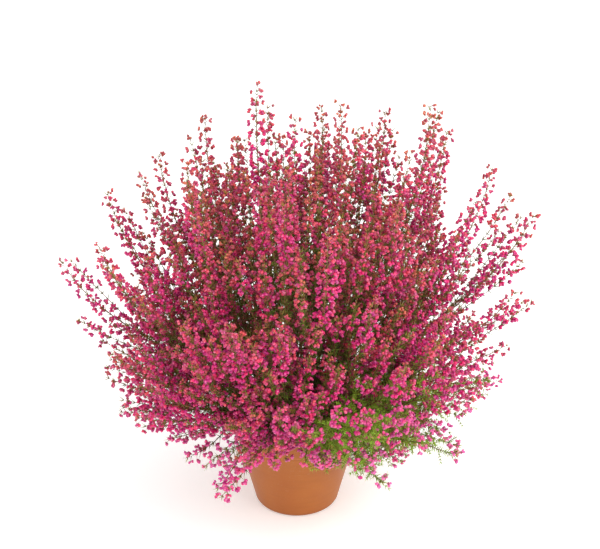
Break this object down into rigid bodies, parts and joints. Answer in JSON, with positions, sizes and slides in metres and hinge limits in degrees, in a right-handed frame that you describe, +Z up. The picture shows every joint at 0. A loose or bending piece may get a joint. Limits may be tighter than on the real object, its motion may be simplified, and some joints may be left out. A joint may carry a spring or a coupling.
{
  "type": "potted cape heath",
  "caption": "Cape heath in full flower, a round bush of upright pink flower spires over fine green needles, in a tapered round pot.",
  "frame": {"origin": "centre of the pot's flat underside, where it stands on a surface", "axes": "+Z up; +X along the bush's widest extent, to the right as seen from the front; -Y towards the front, the side that the picture shows"},
  "size_m": [0.4153, 0.3477, 0.402],
  "materials": {
    "pot": "moulded plastic, terracotta orange-brown, satin, faint moulding lines",
    "soil": "dark peat, rough and matt",
    "bloom": "small waxy urn-shaped bells, magenta pink, coral at the spire tips, with fine green needles between",
    "leaf": "fine needles, matt fresh green to olive"
  },
  "bodies": {
    "root": {"pot": "pot", "shoot_01": "bloom", "shoot_02": "bloom", "shoot_03": "bloom", "shoot_04": "bloom", "shoot_05": "bloom", "shoot_06": "bloom", "shoot_07": "bloom", "shoot_08": "bloom", "shoot_09": "bloom", "shoot_10": "bloom", "shoot_11": "bloom", "shoot_12": "bloom", "shoot_13": "bloom", "shoot_14": "bloom", "shoot_15": "bloom", "shoot_16": "leaf", "shoot_17": "bloom", "shoot_18": "leaf", "shoot_19": "leaf", "shoot_20": "bloom", "shoot_21": "bloom", "shoot_22": "bloom", "shoot_23": "bloom", "shoot_24": "bloom", "shoot_25": "bloom", "shoot_26": "bloom", "shoot_27": "bloom", "shoot_28": "bloom", "shoot_29": "leaf", "shoot_30": "bloom", "shoot_31": "bloom", "shoot_32": "bloom", "shoot_33": "bloom", "shoot_34": "bloom", "shoot_35": "bloom", "shoot_36": "bloom", "shoot_37": "bloom", "shoot_38": "bloom", "shoot_39": "bloom", "shoot_40": "bloom", "shoot_41": "bloom", "shoot_42": "bloom", "shoot_43": "bloom", "shoot_44": "bloom", "shoot_45": "bloom", "shoot_46": "bloom", "shoot_47": "bloom", "shoot_48": "bloom", "shoot_49": "bloom", "shoot_50": "bloom", "shoot_51": "bloom", "shoot_52": "bloom", "shoot_53": "bloom", "shoot_54": "bloom", "shoot_55": "bloom", "shoot_56": "bloom", "shoot_57": "bloom", "soil": "soil"}
  },
  "joints": []
}
